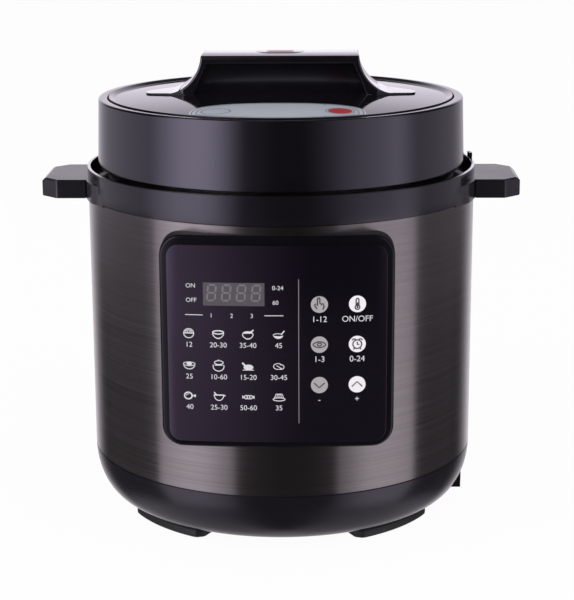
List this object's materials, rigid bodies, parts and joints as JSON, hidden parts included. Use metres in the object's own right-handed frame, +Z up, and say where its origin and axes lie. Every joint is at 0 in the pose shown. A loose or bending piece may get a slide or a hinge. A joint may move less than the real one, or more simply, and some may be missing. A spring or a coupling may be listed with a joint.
{
  "type": "electric pressure cooker",
  "caption": "Countertop electric pressure cooker with a bayonet lid, bridge handle, pressure release button, lift-out pot, side grips and a touch panel on its dark steel drum.",
  "frame": {"origin": "on the pot's axis, on the surface that the feet stand on", "axes": "+Z up along the pot's axis, front with the control panel towards -Y, side grips along X with the power inlet on +X"},
  "size_m": [0.3388, 0.2794, 0.3272],
  "materials": {
    "black_gloss": "high gloss moulded plastic",
    "black_moulded": "satin moulded plastic",
    "black_grained": "finely grained plastic",
    "black_steel": "dark brushed sheet steel",
    "panel_film": "printed touch film",
    "stainless": "drawn stainless steel",
    "zinc_steel": "zinc plated steel",
    "cast_aluminium": "cast and machined",
    "drawn_aluminium": "drawn sheet",
    "silicone": "translucent white silicone",
    "black_rubber": "matt rubber",
    "board": "solder mask on laminate",
    "plated_brass": "plated contact pins"
  },
  "bodies": {
    "housing": {"base_pan": "black_moulded", "rubber_feet": "black_rubber", "power_inlet": "black_moulded", "inlet_pins": "plated_brass", "steel_shell": "black_steel", "collar_ring": "black_gloss", "side_handle_left": "black_moulded", "side_handle_right": "black_moulded", "panel_housing": "black_moulded", "control_film": "panel_film", "control_board": "board", "outer_pot": "drawn_aluminium", "heat_shield": "zinc_steel", "tie_rods": "zinc_steel", "heating_plate": "cast_aluminium", "sensor_holder": "zinc_steel"},
    "temperature_sensor": {"sensor_cap": "cast_aluminium"},
    "inner_pot": {"inner_pot": "stainless"},
    "lid_seal": {"sealing_ring": "silicone"},
    "lid": {"ring_rack": "stainless", "lid_pressure_plate": "stainless", "lid_shell": "black_gloss", "lid_top_cover": "black_gloss", "lid_handle": "black_grained", "lever_bracket": "zinc_steel", "lever_pin": "zinc_steel", "exhaust_nozzle": "stainless", "strainer_cap": "stainless", "steam_vent_cap": "black_moulded"},
    "release_button": {"release_button": "black_gloss"},
    "release_lever": {"release_lever": "black_moulded"},
    "exhaust_valve": {"exhaust_valve": "zinc_steel"},
    "float_valve": {"float_valve": "stainless", "float_gasket": "silicone"}
  },
  "joints": [
    {"name": "pot_lift", "type": "slide", "parent": "housing", "child": "inner_pot", "axis": [0, 0, 1], "range_m": [0, 0.175]},
    {"name": "lid_lift", "type": "slide", "parent": "inner_pot", "child": "lid_seal", "axis": [0, 0, 1], "range_m": [0, 0.1]},
    {"name": "lid_turn", "type": "hinge", "parent": "lid_seal", "child": "lid", "pos_m": [0, 0, 0.26], "axis": [0, 0, -1], "range_deg": [0, 30]},
    {"name": "button_press", "type": "slide", "parent": "lid", "child": "release_button", "axis": [0, 0, -1], "range_m": [0, 0.0035]},
    {"name": "lever_tilt", "type": "hinge", "parent": "lid", "child": "release_lever", "pos_m": [0, 0.038, 0.282], "axis": [1, 0, 0], "range_deg": [0, 5.35]},
    {"name": "valve_lift", "type": "slide", "parent": "lid", "child": "exhaust_valve", "axis": [0, 0, 1], "range_m": [0, 0.0053]},
    {"name": "float_rise", "type": "slide", "parent": "lid", "child": "float_valve", "axis": [0, 0, 1], "range_m": [0, 0.005]},
    {"name": "sensor_press", "type": "slide", "parent": "housing", "child": "temperature_sensor", "axis": [0, 0, 1], "range_m": [-0.003, 0], "stiffness_N_per_m": 400, "springref_m": 0.003}
  ],
  "couplings": [
    {"joint": "lever_tilt", "follows": "button_press", "rad_per_m": 26.316},
    {"joint": "valve_lift", "follows": "button_press", "ratio": 1.5105}
  ]
}
